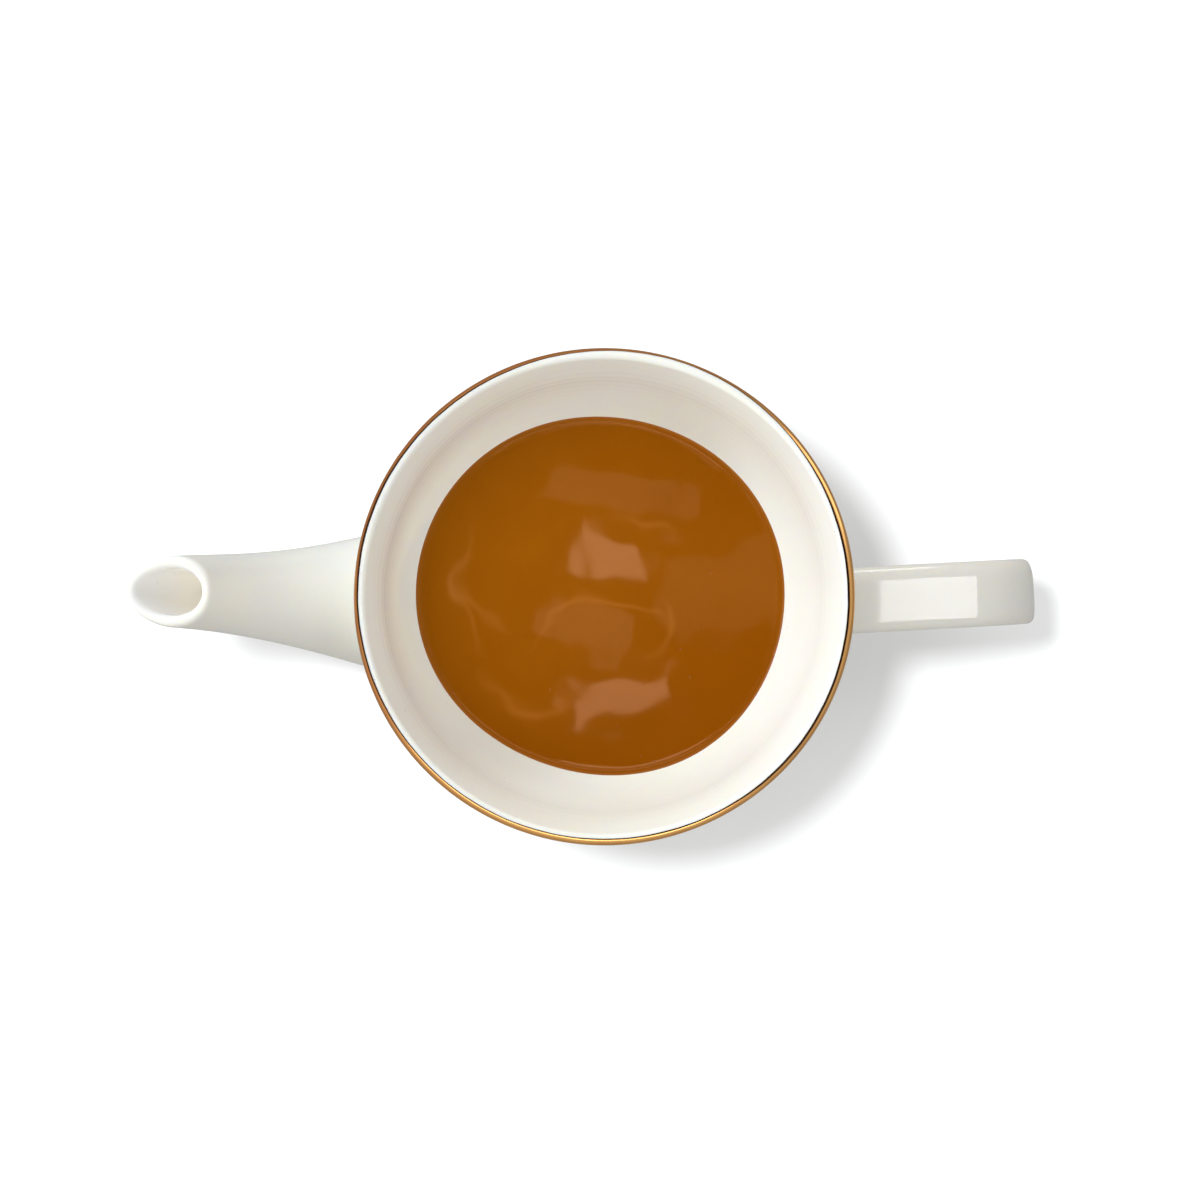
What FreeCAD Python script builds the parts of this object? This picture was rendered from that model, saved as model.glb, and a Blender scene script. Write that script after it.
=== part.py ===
"""A small bone-china teapot, without its lid and part filled with tea and milk.

Frame: millimetres, +Z up, origin at the centre of the foot ring's ground plane, on the axis of
the bowl. The spout points along -X and the handle along +X.

Pieces, each written to parts/ under its label:
  pot       bowl, foot ring, hollow spout and strap handle, fired as one piece of china
  tea       the drink, filling the bowl and the root of the spout to one level
  gilt_rim  the gold line fired onto the crest and the outer half of the lip
"""

import FreeCAD, Part
import math
import os

import Sketcher

# Driving sizes, in millimetres and degrees.
SIZES = {
    # bowl
    "pot_height": 70.0,  # ground to the crest of the lip
    "rim_radius": 52.5,  # outermost edge of the lip
    "wall": 2.6,  # china thickness, and the diameter of the round lip
    "flare_height": 13.0,  # from the steepest part of the wall up to the crest
    "flare_inset": 6.3,  # from the lip's outer edge in to the steepest part, inside
    "waist_slope": 12.0,  # lean of the wall at its steepest
    "side_radius": 154.0,  # long curve of the side, inside
    "corner_radius": 20.0,  # curve from the side into the floor, inside
    "floor_height": 6.0,  # ground to the inside floor
    # foot ring
    "foot_radius": 25.0,
    "foot_width": 3.6,
    "foot_draft": 1.2,  # how far the ring draws in on its way up
    "foot_round": 0.9,
    # drink
    "tea_level": 34.0,
    # spout: its centre line is one curve from inside the bowl to the mouth
    "spout_reach": 38.9,  # lip's outer edge to the centre of the mouth
    "spout_lift": 0.0,  # mouth above the crest of the lip
    "spout_root_inset": 38.5,  # lip's outer edge in to the start of the centre line
    "spout_root_run": 50.0,  # how far the centre line starts out level
    "spout_root_level": 23.0,
    "spout_tip_run": 22.0,  # how far it runs straight before the mouth
    "spout_tip_angle": 50.0,
    "spout_root_aside": -1.5,  # the root and the mouth stand a little off the X axis
    "spout_tip_aside": 1.05,
    "spout_root_width": 53.0,
    "spout_root_depth": 29.6,
    "spout_tip_width": 16.4,
    "spout_tip_depth": 13.8,
    # bore of the spout
    "bore_root_width": 18.0,
    "bore_root_depth": 13.0,
    "bore_tip_width": 10.7,
    # handle: a strap bent through three arcs
    "handle_reach": 40.2,  # lip's outer edge to the strap's outermost face
    "handle_drop": 14.0,  # crest of the lip down to the strap's upper root
    "handle_rise": 8.0,  # upward lean of the strap where it leaves the bowl
    "handle_top_radius": 90.0,
    "handle_bend_radius": 15.0,
    "handle_back_radius": 21.0,
    "handle_skew": 3.05,  # the strap is turned a little about Z
    "handle_aside": -0.84,
    "strap_width": 14.0,
    "strap_depth": 6.2,
    "strap_round": 2.4,
    # gilding
    "gilt_depth": 0.2,
    "gilt_inner_angle": 95.0,  # where the gold starts on the lip's round, from +X
    "gilt_outer_angle": -35.0,
}

OVERSHOOT = 5.0  # how far a cutting solid runs past what it cuts
SPOUT_STATIONS = 9
SPOUT_FLARE = 3  # power of the law that widens the spout towards its root
BORE_FLARE = 2
STATION_POINTS = 16
Z_AXIS = FreeCAD.Vector(0, 0, 1)

doc = FreeCAD.newDocument("teapot")


# ---------------------------------------------------------------- sheet and sketches


def make_sheet():
    """Puts every driving size into the sheet under its alias."""
    sheet = doc.addObject("Spreadsheet::Sheet", "Sizes")
    for row, (alias, value) in enumerate(SIZES.items(), start=1):
        sheet.set(f"A{row}", alias)
        sheet.set(f"B{row}", str(value))
        sheet.setAlias(f"B{row}", alias)
    doc.recompute()
    return sheet


def size(alias):
    """The sheet's present value of one size."""
    return float(getattr(sheet, alias))


def expression(formula):
    """A formula of sheet aliases, each written {alias}, as the document's expression."""
    return formula.replace("{", "Sizes.").replace("}", "")


def bind(thing, target, formula):
    """Ties a property of a thing to a formula."""
    thing.setExpression(target, expression(formula))


def new_body(label):
    body = doc.addObject("PartDesign::Body", label + "_body")
    body.Label = label
    return body


def origin_plane(body, role):
    return next(f for f in body.Origin.OriginFeatures if f.Role == role)


def new_sketch(body, name, role):
    sketch = body.newObject("Sketcher::SketchObject", name)
    sketch.AttachmentSupport = [(origin_plane(body, role), "")]
    sketch.MapMode = "FlatFace"
    return sketch


def arc(centre, radius, start, end):
    """Arc that runs anticlockwise from start to end, both angles in radians."""
    circle = Part.Circle(FreeCAD.Vector(*centre, 0), Z_AXIS, radius)
    return Part.ArcOfCircle(circle, start, end)


def line(start, end):
    return Part.LineSegment(FreeCAD.Vector(*start, 0), FreeCAD.Vector(*end, 0))


def fix(sketch, kind, *where, formula=None):
    """Adds a constraint, and ties its value to a formula if it has one."""
    if formula is None:
        sketch.addConstraint(Sketcher.Constraint(kind, *where))
        return
    value = float(sketch.evalExpression(expression(formula)))
    index = sketch.addConstraint(Sketcher.Constraint(kind, *where, value))
    bind(sketch, f"Constraints[{index}]", formula)


def place_point(sketch, geometry, point, along, up):
    """Fixes one point of a sketch at (along, up) from its origin."""
    fix(sketch, "DistanceX", -1, 1, geometry, point, formula=along)
    fix(sketch, "DistanceY", -1, 1, geometry, point, formula=up)


def revolve(body, sketch, name):
    turn = body.newObject("PartDesign::Revolution", name)
    turn.Profile = sketch
    turn.ReferenceAxis = (sketch, ["V_Axis"])
    turn.Angle = 360
    return turn


# ---------------------------------------------------------------- bowl


def bowl_curve(offset, inside):
    """Centres, radii and joints of the bowl's section, grown outwards by offset.

    From the floor up: the corner, the long side, the flare and the half round of the lip. Each
    is an arc that meets the next with no kink.
    """
    slope = math.radians(size("waist_slope"))
    out = FreeCAD.Vector(math.cos(slope), -math.sin(slope), 0)
    waist = FreeCAD.Vector(
        size("rim_radius") - size("flare_inset"), size("pot_height") - size("flare_height"), 0
    )
    side = waist - out * size("side_radius")
    rise = side.y - size("floor_height") - size("corner_radius")
    gap = size("side_radius") - size("corner_radius")
    corner = FreeCAD.Vector(side.x + math.sqrt(gap**2 - rise**2), side.y - rise, 0)
    half = size("wall") / 2
    lip = FreeCAD.Vector(size("rim_radius") - half, size("pot_height") - half, 0)
    apart = waist - lip
    flare_radius = (half**2 - apart.Length**2) / (2 * (half + apart.dot(out)))
    flare = waist + out * flare_radius
    turn = math.atan2(lip.y - flare.y, lip.x - flare.x)
    return {
        "corner": (corner, size("corner_radius") + offset),
        "side": (side, size("side_radius") + offset),
        "flare": (flare, flare_radius - offset),
        "lip": (lip, half),
        "corner_turn": math.atan2(corner.y - side.y, corner.x - side.x),
        "waist_turn": -slope,
        "flare_turn": turn,
        "lip_turn": turn if inside else turn - math.pi,
    }


def bowl_sketch(body, name, inside):
    """Half section of the bowl: its cavity if inside, or its outer form."""
    offset = 0.0 if inside else size("wall")
    grown = "" if inside else " + {wall}"
    curve = bowl_curve(offset, inside)
    corner, corner_radius = curve["corner"]
    side, side_radius = curve["side"]
    flare, flare_radius = curve["flare"]
    lip, lip_radius = curve["lip"]
    floor = size("floor_height") - offset
    top = size("pot_height") + (OVERSHOOT if inside else 0)
    lip_arc = (math.pi / 2, curve["lip_turn"]) if inside else (curve["lip_turn"], math.pi / 2)
    sketch = new_sketch(body, name, "XZ_Plane")
    sketch.addGeometry(
        [
            line((0, floor), (corner.x, floor)),
            arc((corner.x, corner.y), corner_radius, -math.pi / 2, curve["corner_turn"]),
            arc((side.x, side.y), side_radius, curve["corner_turn"], curve["waist_turn"]),
            arc(
                (flare.x, flare.y),
                flare_radius,
                curve["flare_turn"],
                math.pi + curve["waist_turn"],
            ),
            arc((lip.x, lip.y), lip_radius, *lip_arc),
            line((lip.x, top), (0, top)),
            line((0, top), (0, floor)),
        ]
    )
    floor_line, corner_arc, side_arc, flare_arc, lip_round, top_line, axis = range(7)
    lip_side, lip_crest = (2, 1) if inside else (1, 2)
    fix(sketch, "Tangent", floor_line, 2, corner_arc, 1)
    fix(sketch, "Tangent", corner_arc, 2, side_arc, 1)
    fix(sketch, "Tangent", side_arc, 2, flare_arc, 2)
    fix(sketch, "Tangent", flare_arc, 1, lip_round, lip_side)
    fix(sketch, "Coincident", top_line, 2, axis, 1)
    fix(sketch, "Coincident", axis, 2, floor_line, 1)
    fix(sketch, "Horizontal", floor_line)
    fix(sketch, "Horizontal", top_line)
    fix(sketch, "PointOnObject", axis, 1, -2)
    fix(sketch, "PointOnObject", axis, 2, -2)
    fix(sketch, "Vertical", lip_round, 3, lip_round, lip_crest)
    fix(sketch, "Radius", lip_round, formula="{wall} / 2")
    place_point(sketch, lip_round, 3, "{rim_radius} - {wall} / 2", "{pot_height} - {wall} / 2")
    fix(sketch, "Radius", corner_arc, formula="{corner_radius}" + grown)
    fix(sketch, "Radius", side_arc, formula="{side_radius}" + grown)
    waist = ("{rim_radius} - {flare_inset}", "{pot_height} - {flare_height}")
    lean = "({waist_slope} * 1 deg)"
    place_point(
        sketch,
        side_arc,
        3,
        f"{waist[0]} - {{side_radius}} * cos{lean}",
        f"{waist[1]} + {{side_radius}} * sin{lean}",
    )
    if inside:
        riser = sketch.addGeometry(line((lip.x, size("pot_height")), (lip.x, top)))
        fix(sketch, "Coincident", lip_round, lip_crest, riser, 1)
        fix(sketch, "Coincident", riser, 2, top_line, 1)
        fix(sketch, "Vertical", riser)
        fix(sketch, "DistanceY", riser, 1, riser, 2, formula=str(OVERSHOOT))
        fix(sketch, "DistanceY", -1, 1, floor_line, 1, formula="{floor_height}")
    else:
        fix(sketch, "Coincident", lip_round, lip_crest, top_line, 1)
        fix(sketch, "DistanceY", -1, 1, floor_line, 1, formula="{floor_height} - {wall}")
    return sketch


def foot_sketch(body):
    """Section of the foot ring, run up through the wall into the cavity, where it is cut off."""
    top = size("floor_height") + OVERSHOOT
    outer = size("foot_radius")
    inner = outer - size("foot_width")
    drawn = outer - size("foot_draft")
    sketch = new_sketch(body, "FootSection", "XZ_Plane")
    corners = [(inner, 0), (outer, 0), (drawn, top), (inner, top)]
    for start, end in zip(corners, corners[1:] + corners[:1]):
        sketch.addGeometry(line(start, end))
    for index in range(4):
        fix(sketch, "Coincident", index, 2, (index + 1) % 4, 1)
    ground, _, crest, bore = range(4)
    fix(sketch, "Horizontal", crest)
    fix(sketch, "Vertical", bore)
    place_point(sketch, ground, 1, "{foot_radius} - {foot_width}", "0")
    place_point(sketch, ground, 2, "{foot_radius}", "0")
    place_point(sketch, crest, 1, "{foot_radius} - {foot_draft}", f"{{floor_height}} + {OVERSHOOT}")
    return sketch


def circles_at(shape, level):
    """Names of the circular edges of a shape that lie at one level."""
    return [
        f"Edge{index}"
        for index, edge in enumerate(shape.Edges, start=1)
        if isinstance(edge.Curve, Part.Circle) and abs(edge.Curve.Center.z - level) < 1e-4
    ]


def make_bowl():
    """Outer form of the bowl on its foot ring, still solid."""
    body = new_body("bowl_form")
    revolve(body, bowl_sketch(body, "BowlSection", inside=False), "BowlTurn")
    foot = revolve(body, foot_sketch(body), "FootTurn")
    doc.recompute()
    rounds = body.newObject("PartDesign::Fillet", "FootRound")
    rounds.Base = (foot, circles_at(foot.Shape, 0.0))
    bind(rounds, "Radius", "{foot_round}")
    return body


def make_cavity():
    """The space inside the bowl, open through the lip."""
    body = new_body("cavity")
    revolve(body, bowl_sketch(body, "CavitySection", inside=True), "CavityTurn")
    return body


def make_gilding():
    """Thin band let into the round of the lip, from just inside its crest to its outer side."""
    body = new_body("gilt_rim")
    half = size("wall") / 2
    depth = size("gilt_depth")
    centre = (size("rim_radius") - half, size("pot_height") - half)
    sweep = [math.radians(size(f"gilt_{side}_angle")) for side in ("outer", "inner")]
    sketch = new_sketch(body, "GiltSection", "XZ_Plane")
    sketch.addGeometry([arc(centre, half, *sweep), arc(centre, half - depth, *sweep)])
    outer, inner = range(2)
    for point, angle in enumerate(sweep, start=1):
        ray = (math.cos(angle), math.sin(angle))
        ends = [(centre[0] + r * ray[0], centre[1] + r * ray[1]) for r in (half, half - depth)]
        edge = sketch.addGeometry(line(*ends))
        fix(sketch, "Coincident", outer, point, edge, 1)
        fix(sketch, "Coincident", inner, point, edge, 2)
        fix(sketch, "PointOnObject", outer, 3, edge)
    fix(sketch, "Coincident", outer, 3, inner, 3)
    place_point(sketch, outer, 3, "{rim_radius} - {wall} / 2", "{pot_height} - {wall} / 2")
    fix(sketch, "Radius", outer, formula="{wall} / 2")
    fix(sketch, "Radius", inner, formula="{wall} / 2 - {gilt_depth}")
    fix(sketch, "DistanceY", outer, 3, outer, 1, formula="{wall} / 2 * sin({gilt_outer_angle} * 1 deg)")
    fix(sketch, "DistanceX", outer, 3, outer, 2, formula="{wall} / 2 * cos({gilt_inner_angle} * 1 deg)")
    revolve(body, sketch, "GiltTurn")
    return body


# ---------------------------------------------------------------- spout


def cubic(t, points):
    """Point at t on the cubic Bezier curve through four control values."""
    weights = ((1 - t) ** 3, 3 * t * (1 - t) ** 2, 3 * t**2 * (1 - t), t**3)
    return sum((point * weight for point, weight in zip(points, weights)), points[0] * 0)


def cubic_slope(t, points):
    steps = [after - before for before, after in zip(points, points[1:])]
    weights = ((1 - t) ** 2, 2 * t * (1 - t), t**2)
    return sum((step * weight * 3 for step, weight in zip(steps, weights)), steps[0] * 0)


def spout_line():
    """Control points of the spout's centre line: level out of the bowl, then up to the mouth."""
    angle = math.radians(size("spout_tip_angle"))
    root_x = size("spout_root_inset") - size("rim_radius")
    mouth = FreeCAD.Vector(
        -(size("rim_radius") + size("spout_reach")),
        size("spout_tip_aside"),
        size("pot_height") + size("spout_lift"),
    )
    root = FreeCAD.Vector(root_x, size("spout_root_aside"), size("spout_root_level"))
    run = size("spout_tip_run")
    return [
        root,
        root - FreeCAD.Vector(size("spout_root_run"), 0, 0),
        mouth + FreeCAD.Vector(run * math.cos(angle), 0, -run * math.sin(angle)),
        mouth,
    ]


def oval(centre, lean, half_width, half_depth):
    """Closed smooth curve round an ellipse that is level along Y and leans back towards +X."""
    across = FreeCAD.Vector(0, half_width, 0)
    along = FreeCAD.Vector(math.sin(lean), 0, math.cos(lean)) * half_depth
    turns = [2 * math.pi * k / STATION_POINTS for k in range(STATION_POINTS)]
    curve = Part.BSplineCurve()
    curve.interpolate(
        [centre + along * math.cos(a) + across * math.sin(a) for a in turns], PeriodicFlag=True
    )
    return Part.Wire(curve.toShape())


def spout_tube(root, tip, flare, past_mouth):
    """Tube along the spout's centre line, from root to tip (width, depth) across.

    At t along the line each half size is tip + (root - tip)(1 - t)^flare. The sections stand
    square to the line and turn level towards the mouth, so the mouth is cut level.
    """
    points = spout_line()
    sections = []
    for k in range(SPOUT_STATIONS + 1):
        t = k / SPOUT_STATIONS
        slope = cubic_slope(t, points)
        climb = math.atan2(slope.z, -slope.x)
        lean = climb + (math.pi / 2 - climb) * t**6
        grown = (1 - t) ** flare
        half_width = (tip[0] + (root[0] - tip[0]) * grown) / 2
        half_depth = (tip[1] + (root[1] - tip[1]) * grown) / 2 / math.cos(lean - climb)
        sections.append((cubic(t, points), lean, half_width, half_depth))
    if past_mouth:
        centre, lean, half_width, half_depth = sections[-1]
        onward = cubic_slope(1.0, points).normalize() * past_mouth
        sections.append((centre + onward, lean, half_width, half_depth))
    return Part.makeLoft([oval(*section) for section in sections], True, False)


def make_spout():
    """Outer form of the spout, and the bore that runs through it into the bowl."""
    form = doc.addObject("Part::Feature", "spout_form")
    form.Shape = spout_tube(
        (size("spout_root_width"), size("spout_root_depth")),
        (size("spout_tip_width"), size("spout_tip_depth")),
        SPOUT_FLARE,
        0.0,
    )
    bore = doc.addObject("Part::Feature", "spout_bore")
    bore.Shape = spout_tube(
        (size("bore_root_width"), size("bore_root_depth")),
        (size("bore_tip_width"), size("bore_tip_width")),
        BORE_FLARE,
        OVERSHOOT,
    )
    return form, bore


# ---------------------------------------------------------------- handle


def handle_path(body):
    """Middle line of the strap: out of the bowl, over the top, round and back to the bowl."""
    rise = math.radians(size("handle_rise"))
    top_radius = size("handle_top_radius")
    bend_radius = size("handle_bend_radius")
    back_radius = size("handle_back_radius")
    start = (
        size("rim_radius") - size("flare_inset") - size("wall"),
        size("pot_height") - size("handle_drop"),
    )
    top = (start[0] + top_radius * math.sin(rise), start[1] - top_radius * math.cos(rise))
    outer = size("rim_radius") + size("handle_reach") - size("strap_depth") / 2
    bend_x = outer - bend_radius
    gap = top_radius - bend_radius
    bend = (bend_x, top[1] + math.sqrt(gap**2 - (bend_x - top[0]) ** 2))
    meet = math.atan2(bend[1] - top[1], bend[0] - top[0])
    back = (outer - back_radius, bend[1])
    foot = back[1] - back_radius
    sketch = new_sketch(body, "StrapPath", "XZ_Plane")
    sketch.addGeometry(
        [
            arc(top, top_radius, meet, math.pi / 2 + rise),
            arc(bend, bend_radius, 0, meet),
            arc(back, back_radius, -math.pi / 2, 0),
            line((back[0], foot), (size("foot_radius"), foot)),
        ]
    )
    top_arc, bend_arc, back_arc, run_in = range(4)
    fix(sketch, "Tangent", top_arc, 1, bend_arc, 2)
    fix(sketch, "Tangent", bend_arc, 1, back_arc, 2)
    fix(sketch, "Tangent", back_arc, 1, run_in, 1)
    fix(sketch, "Horizontal", run_in)
    fix(sketch, "Horizontal", bend_arc, 3, back_arc, 3)
    fix(sketch, "Radius", top_arc, formula="{handle_top_radius}")
    fix(sketch, "Radius", bend_arc, formula="{handle_bend_radius}")
    fix(sketch, "Radius", back_arc, formula="{handle_back_radius}")
    root = "{rim_radius} - {flare_inset} - {wall}"
    place_point(sketch, top_arc, 2, root, "{pot_height} - {handle_drop}")
    fix(
        sketch,
        "DistanceX",
        -1,
        1,
        top_arc,
        3,
        formula=root + " + {handle_top_radius} * sin({handle_rise} * 1 deg)",
    )
    fix(
        sketch,
        "DistanceX",
        -1,
        1,
        bend_arc,
        3,
        formula="{rim_radius} + {handle_reach} - {strap_depth} / 2 - {handle_bend_radius}",
    )
    fix(sketch, "DistanceX", -1, 1, run_in, 2, formula="{foot_radius}")
    return sketch


def strap_section(body):
    """Section of the strap at the path's start: a rectangle with rounded corners."""
    half_width = size("strap_width") / 2
    half_depth = size("strap_depth") / 2
    corner = size("strap_round")
    sketch = new_sketch(body, "StrapSection", "YZ_Plane")
    bind(sketch, ".AttachmentOffset.Base.z", "{rim_radius} - {flare_inset} - {wall}")
    bind(sketch, ".AttachmentOffset.Base.y", "{pot_height} - {handle_drop}")
    bind(sketch, ".AttachmentOffset.Rotation.Angle", "{handle_rise}")
    quarter = math.pi / 2
    spots = [(1, 1), (-1, 1), (-1, -1), (1, -1)]
    for turn, (side, face) in enumerate(spots):
        centre = (side * (half_width - corner), face * (half_depth - corner))
        sketch.addGeometry(arc(centre, corner, turn * quarter, (turn + 1) * quarter))
    for turn, (side, face) in enumerate(spots):
        after = spots[(turn + 1) % 4]
        first = sketch.Geometry[turn].EndPoint
        last = sketch.Geometry[(turn + 1) % 4].StartPoint
        edge = sketch.addGeometry(line((first.x, first.y), (last.x, last.y)))
        fix(sketch, "Tangent", turn, 2, edge, 1)
        fix(sketch, "Tangent", edge, 2, (turn + 1) % 4, 1)
        fix(sketch, "Horizontal" if side != after[0] else "Vertical", edge)
    for turn in range(1, 4):
        fix(sketch, "Equal", 0, turn)
    fix(sketch, "Radius", 0, formula="{strap_round}")
    fix(sketch, "Symmetric", 0, 3, 2, 3, -1, 1)
    fix(sketch, "DistanceX", 1, 3, 0, 3, formula="{strap_width} - 2 * {strap_round}")
    fix(sketch, "DistanceY", 3, 3, 0, 3, formula="{strap_depth} - 2 * {strap_round}")
    return sketch


def make_handle():
    """Strap handle, swept along its path and turned a little off the X axis."""
    body = new_body("handle_form")
    path = handle_path(body)
    section = strap_section(body)
    strap = body.newObject("PartDesign::AdditivePipe", "Strap")
    strap.Profile = section
    strap.Spine = path
    bind(body, ".Placement.Rotation.Angle", "{handle_skew}")
    bind(body, ".Placement.Base.y", "{handle_aside} - {rim_radius} * sin({handle_skew} * 1 deg)")
    return body


# ---------------------------------------------------------------- pot and tea


def combine(kind, name, *pieces):
    """Boolean of whole pieces: MultiFuse or MultiCommon of all, or Cut of the first by the next."""
    result = doc.addObject(f"Part::{kind}", name)
    if kind == "Cut":
        result.Base, result.Tool = pieces
    else:
        result.Shapes = list(pieces)
    return result


def check_all():
    """Stops with the object's name if anything failed to build."""
    for item in doc.Objects:
        if any(word in ("Invalid", "Error") for word in item.State):
            raise RuntimeError(f"{item.Name} failed: {item.State}")


def check_piece(piece):
    shape = piece.Shape
    if shape.isNull() or not shape.isValid() or len(shape.Solids) != 1:
        raise RuntimeError(f"{piece.Label} isn't one valid solid")


sheet = make_sheet()
bowl = make_bowl()
cavity = make_cavity()
gilding = make_gilding()
spout, bore = make_spout()
handle = make_handle()
doc.recompute()

outside = combine("MultiFuse", "outside", bowl, spout, handle)
hollow = combine("MultiFuse", "hollow", cavity, bore)
taken_out = combine("MultiFuse", "taken_out", hollow, gilding)
pot = combine("Cut", "pot", outside, taken_out)
fill = doc.addObject("Part::Cylinder", "fill")
bind(fill, "Radius", "{rim_radius} + {spout_reach}")
bind(fill, "Height", "{tea_level}")
tea = combine("MultiCommon", "tea", hollow, fill)
doc.recompute()
check_all()

os.makedirs("parts", exist_ok=True)
for piece in (pot, tea, gilding):
    check_piece(piece)
    piece.Shape.exportStep(f"parts/{piece.Label}.step")
    print(f"{piece.Label}: {piece.Shape.Volume / 1000:.2f} cm3")
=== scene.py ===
import logging
import math
from dataclasses import dataclass, field
from enum import Enum

import bpy
import numpy as np
from bpy.types import Camera, Collection, Light, Material, Mesh, Node, NodeSocket, NodeTree, Object
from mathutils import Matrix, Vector


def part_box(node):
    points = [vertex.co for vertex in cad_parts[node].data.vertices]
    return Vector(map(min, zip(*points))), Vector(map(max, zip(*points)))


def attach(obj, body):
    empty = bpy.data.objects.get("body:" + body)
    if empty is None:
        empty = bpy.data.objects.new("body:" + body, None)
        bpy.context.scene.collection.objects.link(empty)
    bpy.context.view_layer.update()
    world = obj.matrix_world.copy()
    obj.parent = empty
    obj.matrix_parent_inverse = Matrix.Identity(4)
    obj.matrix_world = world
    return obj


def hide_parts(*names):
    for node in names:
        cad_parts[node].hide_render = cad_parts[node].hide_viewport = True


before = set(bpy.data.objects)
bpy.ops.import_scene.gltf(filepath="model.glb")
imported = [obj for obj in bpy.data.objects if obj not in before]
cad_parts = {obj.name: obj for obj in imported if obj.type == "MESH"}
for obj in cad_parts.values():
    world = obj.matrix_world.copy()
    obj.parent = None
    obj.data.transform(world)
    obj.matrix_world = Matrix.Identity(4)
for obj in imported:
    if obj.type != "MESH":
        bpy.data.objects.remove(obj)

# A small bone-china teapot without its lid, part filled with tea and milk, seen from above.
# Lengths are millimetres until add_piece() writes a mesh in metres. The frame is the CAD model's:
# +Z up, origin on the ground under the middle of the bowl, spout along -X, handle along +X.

Array = np.ndarray
Point = tuple[float, float, float]

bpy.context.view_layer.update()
MM = 0.001
TURN = 2.0 * math.pi

logging.basicConfig(level=logging.INFO, format="%(message)s")
log = logging.getLogger("teapot")


# ---------------- surfaces


@dataclass
class Surface:
    """Closed skin: points in millimetres, arrays of quads and triangles, marks per point."""

    points: Array
    faces: list[Array]
    marks: dict[str, Array] = field(default_factory=dict)

    def outward(self) -> "Surface":
        """Turns its faces outwards: round, if its signed volume is negative, and returns it."""
        volume = 0.0
        for group in self.faces:
            corners = self.points[group]
            for last in range(2, group.shape[1]):
                cross = np.cross(corners[:, last - 1], corners[:, last])
                volume += float(np.einsum("ij,ij->", corners[:, 0], cross))
        if volume < 0.0:
            self.faces = [group[:, ::-1] for group in self.faces]
        return self


def skin(net: Array, closed_rows: bool = False, marks: dict | None = None) -> Surface:
    """Closes a net of points into a skin.

    Each row is a closed ring of columns. The rows close into a loop too, or else each end ring is
    filled by a fan of triangles round its mean point.

    Args:
        net: points, (rows, columns, 3).
        closed_rows: whether the last row joins the first.
        marks: values per point, (rows, columns), by name.

    Returns:
        The skin, facing outwards.
    """
    rows, columns = net.shape[:2]
    here = np.arange(rows * columns).reshape(rows, columns)
    beside = np.roll(here, -1, axis=1)
    upper = here if closed_rows else here[:-1]
    upper_beside = beside if closed_rows else beside[:-1]
    lower = np.roll(here, -1, axis=0)[: len(upper)]
    lower_beside = np.roll(beside, -1, axis=0)[: len(upper)]
    quads = np.stack([upper, upper_beside, lower_beside, lower], axis=-1).reshape(-1, 4)
    points = net.reshape(-1, 3)
    values = {name: mark.reshape(-1) for name, mark in (marks or {}).items()}
    if closed_rows:
        return Surface(points, [quads], values).outward()
    first, last = np.full(columns, rows * columns), np.full(columns, rows * columns + 1)
    fans = np.concatenate(
        [np.stack([beside[0], here[0], first], -1), np.stack([here[-1], beside[-1], last], -1)]
    )
    points = np.concatenate([points, net[:1].mean(1), net[-1:].mean(1)])
    for name, mark in (marks or {}).items():
        values[name] = np.concatenate([values[name], [mark[0].mean(), mark[-1].mean()]])
    return Surface(points, [quads, fans], values).outward()


def blank(net: Array) -> Array:
    """A mark of 0 for every point of a net."""
    return np.zeros(net.shape[:2])


def into_scene(name: str, data: Mesh | Camera | Light) -> Object:
    """A new object of the scene, at the origin."""
    thing = bpy.data.objects.new(name, data)
    bpy.context.scene.collection.objects.link(thing)
    return thing


def add_piece(
    name: str, surfaces: list[Surface], material: Material, nodes: tuple[str, ...]
) -> Object:
    """Writes surfaces into one smooth mesh object in metres and hangs it on the frame.

    Args:
        name: the piece's name.
        surfaces: closed skins in millimetres.
        material: its finish.
        nodes: the CAD nodes that it stands for.

    Returns:
        The new object, at the origin.
    """
    points, faces, start = [], [], 0
    for surface in surfaces:
        points.append(surface.points)
        faces += [face for group in surface.faces for face in (group + start).tolist()]
        start += len(surface.points)
    mesh = bpy.data.meshes.new(name)
    mesh.from_pydata((np.concatenate(points) * MM).tolist(), [], faces)
    for mark in surfaces[0].marks:
        values = np.concatenate([surface.marks[mark] for surface in surfaces])
        mesh.attributes.new(mark, "FLOAT", "POINT").data.foreach_set("value", values.astype(np.float32))
    mesh.polygons.foreach_set("use_smooth", np.ones(len(mesh.polygons), bool))
    mesh.materials.append(material)
    piece = into_scene(name, mesh)
    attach(piece, "root")
    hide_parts(*nodes)
    log.info("%s: %d points, %d faces", name, len(mesh.vertices), len(mesh.polygons))
    return piece


# ---------------- curves


def ease(value: Array, low: float, high: float) -> Array:
    """Smooth step: 0 below low, 1 above high, and 3s^2 - 2s^3 between, s the share of the way."""
    share = np.clip((value - low) / (high - low), 0.0, 1.0)
    return share * share * (3.0 - 2.0 * share)


def bezier(share: Array, *poles: Array) -> Array:
    """Point at each share of a Bezier curve: poles weighted by the Bernstein polynomials.

    Args:
        share: where along the curve, 0 to 1; the result has its shape plus the poles' last axis.
        poles: control points, which broadcast against share.

    Returns:
        The points.
    """
    degree = len(poles) - 1
    weights = [
        math.comb(degree, k) * (1.0 - share) ** (degree - k) * share**k for k in range(degree + 1)
    ]
    return sum(weight[..., None] * pole for weight, pole in zip(weights, poles))


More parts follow.
